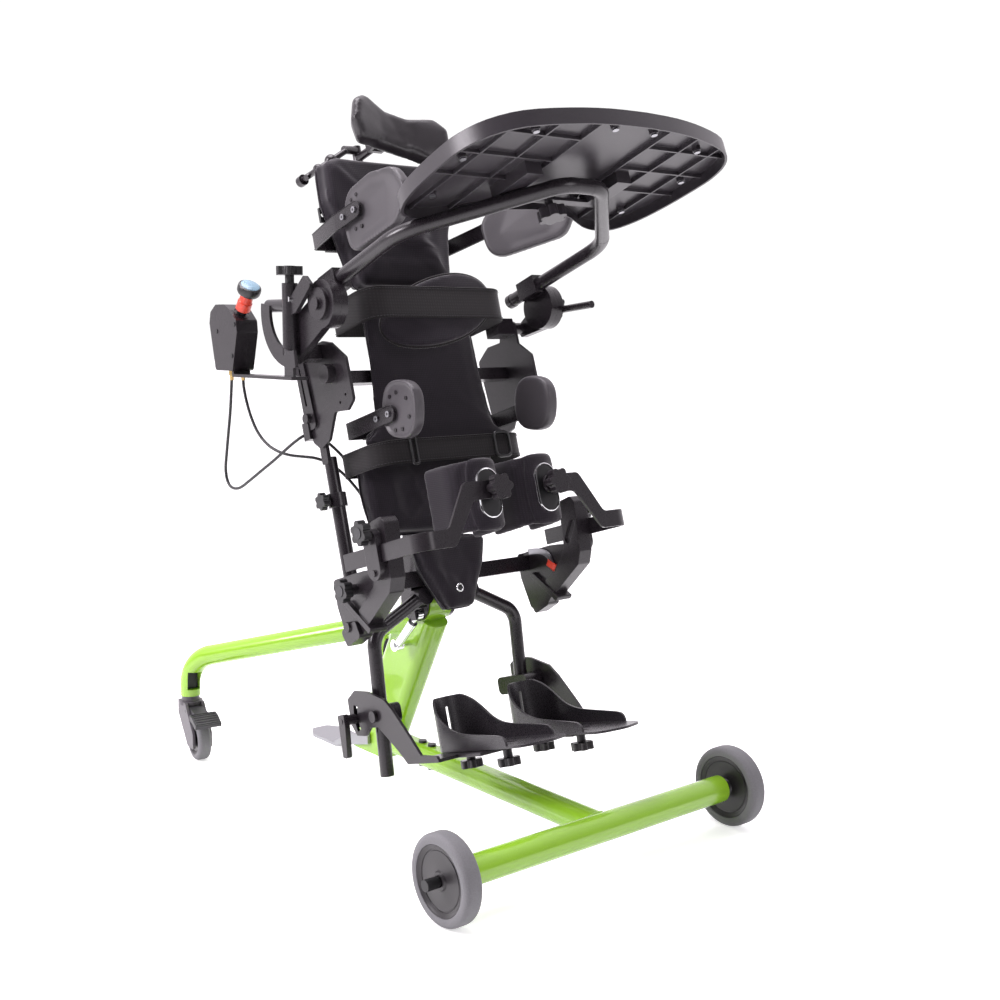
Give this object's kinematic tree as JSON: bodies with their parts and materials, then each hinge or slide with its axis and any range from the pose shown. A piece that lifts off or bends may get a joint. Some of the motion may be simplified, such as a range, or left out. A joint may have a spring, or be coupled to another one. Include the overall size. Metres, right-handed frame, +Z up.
{
  "type": "standing frame",
  "caption": "Wheeled paediatric standing frame: leaning pads, straps, side guides, knee supports and foot plates on a tilting post, with a tray in front.",
  "frame": {"origin": "floor level under the middle of the overall box", "axes": "+Z up, -Y the way the user faces, +X to the user's left"},
  "size_m": [0.63, 0.9588, 1.1471],
  "materials": {
    "green_paint": "gloss lime powder coat",
    "black_paint": "satin black powder coat",
    "bolt_steel": "zinc",
    "wheel_tyre": "grey rubber on a black hub",
    "grey_plastic": "dark grey moulding",
    "chrome": "plated",
    "pad_fabric": "stretch knit over foam",
    "strap_web": "padded webbing",
    "soft_urethane": "skinned soft foam",
    "moulded_black": "fine-grained moulding",
    "signal_red": "gloss",
    "cable_jacket": "smooth"
  },
  "bodies": {
    "base": {"front_crossbar": "green_paint", "spine_tube": "green_paint", "mast": "green_paint", "rear_leg_left": "green_paint", "rear_leg_right": "green_paint", "base_bolts": "bolt_steel"},
    "tilt": {"tilt_head": "black_paint", "back_post": "black_paint", "cross_tube": "black_paint", "calf_pad": "pad_fabric", "leg_pad": "pad_fabric", "hip_pad": "pad_fabric", "torso_pad": "pad_fabric", "pad_shells": "moulded_black", "chest_strap": "strap_web", "hip_strap": "strap_web", "side_plate_left": "black_paint", "side_plate_right": "black_paint", "arm_clamps": "black_paint", "strut": "black_paint", "control_bracket": "black_paint", "control_box": "grey_plastic", "control_cables": "cable_jacket", "knee_bracket_left": "black_paint", "knee_bracket_right": "black_paint", "star_knobs": "moulded_black"},
    "front_wheel_left": {"front_wheel_left": "wheel_tyre"},
    "caster_left": {"caster_fork_left": "grey_plastic"},
    "caster_wheel_left": {"caster_wheel_left": "wheel_tyre"},
    "caster_pedal_left": {"caster_pedal_left": "grey_plastic"},
    "front_wheel_right": {"front_wheel_right": "wheel_tyre"},
    "caster_right": {"caster_fork_right": "grey_plastic"},
    "caster_wheel_right": {"caster_wheel_right": "wheel_tyre"},
    "caster_pedal_right": {"caster_pedal_right": "grey_plastic"},
    "foot_pedal": {"foot_pedal": "black_paint"},
    "gas_cylinder": {"gas_cylinder": "chrome"},
    "gas_rod": {"gas_rod": "chrome"},
    "control_knob": {"control_knob": "signal_red"},
    "tray_clamps": {"tray_clamps": "black_paint"},
    "tray": {"tray_tube": "black_paint", "tray": "moulded_black", "tray_screws": "bolt_steel"},
    "headrest_link": {"headrest_link": "black_paint"},
    "headrest_pad": {"headrest_pad": "soft_urethane"},
    "lateral_left": {"lateral_left": "soft_urethane"},
    "hip_guide_left": {"hip_guide_left": "soft_urethane"},
    "knee_bar_left": {"knee_bar_left": "black_paint"},
    "knee_pad_left": {"knee_pad_left": "pad_fabric"},
    "leg_left": {"leg_tube_left": "black_paint"},
    "foot_clamp_left": {"foot_clamp_left": "black_paint"},
    "foot_left": {"foot_arm_left": "black_paint", "footplate_left": "moulded_black"},
    "lateral_right": {"lateral_right": "soft_urethane"},
    "hip_guide_right": {"hip_guide_right": "soft_urethane"},
    "knee_bar_right": {"knee_bar_right": "black_paint"},
    "knee_pad_right": {"knee_pad_right": "pad_fabric"},
    "leg_right": {"leg_tube_right": "black_paint"},
    "foot_clamp_right": {"foot_clamp_right": "black_paint"},
    "foot_right": {"foot_arm_right": "black_paint", "footplate_right": "moulded_black"}
  },
  "joints": [
    {"name": "tilt_pivot", "type": "hinge", "parent": "base", "child": "tilt", "pos_m": [0, 0.01225, 0.332], "axis": [1, 0, 0], "range_deg": [-60, 12]},
    {"name": "front_wheel_left_spin", "type": "hinge", "parent": "base", "child": "front_wheel_left", "pos_m": [-0.28, -0.40275, 0.0625], "axis": [1, 0, 0], "continuous": true},
    {"name": "caster_left_swivel", "type": "hinge", "parent": "base", "child": "caster_left", "pos_m": [-0.215, 0.45725, 0.1], "axis": [0, 0, 1], "continuous": true},
    {"name": "caster_left_roll", "type": "hinge", "parent": "caster_left", "child": "caster_wheel_left", "pos_m": [-0.22085, 0.41566, 0.0375], "axis": [0.9903, -0.1392, 0], "continuous": true},
    {"name": "caster_left_brake", "type": "hinge", "parent": "caster_left", "child": "caster_pedal_left", "pos_m": [-0.21806, 0.43546, 0.086], "axis": [0.9903, -0.1392, 0], "range_deg": [-4, 7]},
    {"name": "front_wheel_right_spin", "type": "hinge", "parent": "base", "child": "front_wheel_right", "pos_m": [0.28, -0.40275, 0.0625], "axis": [1, 0, 0], "continuous": true},
    {"name": "caster_right_swivel", "type": "hinge", "parent": "base", "child": "caster_right", "pos_m": [0.215, 0.45725, 0.1], "axis": [0, 0, 1], "continuous": true},
    {"name": "caster_right_roll", "type": "hinge", "parent": "caster_right", "child": "caster_wheel_right", "pos_m": [0.20915, 0.41566, 0.0375], "axis": [0.9903, -0.1392, 0], "continuous": true},
    {"name": "caster_right_brake", "type": "hinge", "parent": "caster_right", "child": "caster_pedal_right", "pos_m": [0.21194, 0.43546, 0.086], "axis": [0.9903, -0.1392, 0], "range_deg": [-4, 7]},
    {"name": "foot_pedal_press", "type": "hinge", "parent": "base", "child": "foot_pedal", "pos_m": [0, 0.16325, 0.062], "axis": [1, 0, 0], "range_deg": [-6, 0], "stiffness_Nm_per_rad": 10, "springref_deg": 11.46},
    {"name": "gas_spring_swing", "type": "hinge", "parent": "base", "child": "gas_cylinder", "pos_m": [-0.0465, 0.03725, 0.256], "axis": [1, 0, 0], "range_deg": [-17, 6]},
    {"name": "gas_rod_travel", "type": "slide", "parent": "gas_cylinder", "child": "gas_rod", "axis": [0, -0.6954, 0.7186], "range_m": [-0.009, 0.03]},
    {"name": "control_push", "type": "slide", "parent": "tilt", "child": "control_knob", "axis": [0, -0.5822, 0.8131], "range_m": [-0.006, 0], "stiffness_N_per_m": 1200, "springref_m": 0.003},
    {"name": "tray_angle", "type": "hinge", "parent": "tilt", "child": "tray_clamps", "pos_m": [0, -0.02926, 0.81154], "axis": [1, 0, 0], "range_deg": [-2, 20]},
    {"name": "tray_depth", "type": "slide", "parent": "tray_clamps", "child": "tray", "axis": [0, -0.9336, 0.3584], "range_m": [-0.03, 0.028]},
    {"name": "headrest_height", "type": "slide", "parent": "tilt", "child": "headrest_link", "axis": [0, 0.284, 0.9588], "range_m": [0, 0.06]},
    {"name": "headrest_tilt", "type": "hinge", "parent": "headrest_link", "child": "headrest_pad", "pos_m": [0, 0.14422, 1.08033], "axis": [1, 0, 0], "range_deg": [-18, 5]},
    {"name": "lateral_left_width", "type": "slide", "parent": "tilt", "child": "lateral_left", "axis": [-1, 0, 0], "range_m": [-0.008, 0.03]},
    {"name": "hip_guide_left_width", "type": "slide", "parent": "tilt", "child": "hip_guide_left", "axis": [-1, 0, 0], "range_m": [-0.008, 0.03]},
    {"name": "knee_bar_left_depth", "type": "slide", "parent": "tilt", "child": "knee_bar_left", "axis": [0, -0.9588, 0.284], "range_m": [-0.03, 0.03]},
    {"name": "knee_pad_left_swivel", "type": "hinge", "parent": "knee_bar_left", "child": "knee_pad_left", "pos_m": [-0.057, -0.22008, 0.54057], "axis": [0, -0.9588, 0.284], "range_deg": [-12, 12]},
    {"name": "leg_left_spread", "type": "hinge", "parent": "tilt", "child": "leg_left", "pos_m": [-0.046, -0.03168, 0.34918], "axis": [0, 0.9588, -0.284], "range_deg": [0, 12]},
    {"name": "foot_left_height", "type": "slide", "parent": "leg_left", "child": "foot_clamp_left", "axis": [0, -0.1601, -0.9871], "range_m": [-0.03, 0.03]},
    {"name": "foot_left_angle", "type": "hinge", "parent": "foot_clamp_left", "child": "foot_left", "pos_m": [-0.16, -0.07737, 0.18437], "axis": [1, 0, 0], "range_deg": [-10, 10]},
    {"name": "lateral_right_width", "type": "slide", "parent": "tilt", "child": "lateral_right", "axis": [1, 0, 0], "range_m": [-0.008, 0.03]},
    {"name": "hip_guide_right_width", "type": "slide", "parent": "tilt", "child": "hip_guide_right", "axis": [1, 0, 0], "range_m": [-0.008, 0.03]},
    {"name": "knee_bar_right_depth", "type": "slide", "parent": "tilt", "child": "knee_bar_right", "axis": [0, -0.9588, 0.284], "range_m": [-0.03, 0.03]},
    {"name": "knee_pad_right_swivel", "type": "hinge", "parent": "knee_bar_right", "child": "knee_pad_right", "pos_m": [0.057, -0.22008, 0.54057], "axis": [0, -0.9588, 0.284], "range_deg": [-12, 12]},
    {"name": "leg_right_spread", "type": "hinge", "parent": "tilt", "child": "leg_right", "pos_m": [0.046, -0.03168, 0.34918], "axis": [0, -0.9588, 0.284], "range_deg": [0, 12]},
    {"name": "foot_right_height", "type": "slide", "parent": "leg_right", "child": "foot_clamp_right", "axis": [0, -0.1601, -0.9871], "range_m": [-0.03, 0.03]},
    {"name": "foot_right_angle", "type": "hinge", "parent": "foot_clamp_right", "child": "foot_right", "pos_m": [0.16, -0.07737, 0.18437], "axis": [1, 0, 0], "range_deg": [-10, 10]}
  ],
  "couplings": [
    {"joint": "gas_spring_swing", "follows": "tilt_pivot", "ratio": 0.25},
    {"joint": "gas_rod_travel", "follows": "tilt_pivot", "m_per_rad": -0.027}
  ]
}
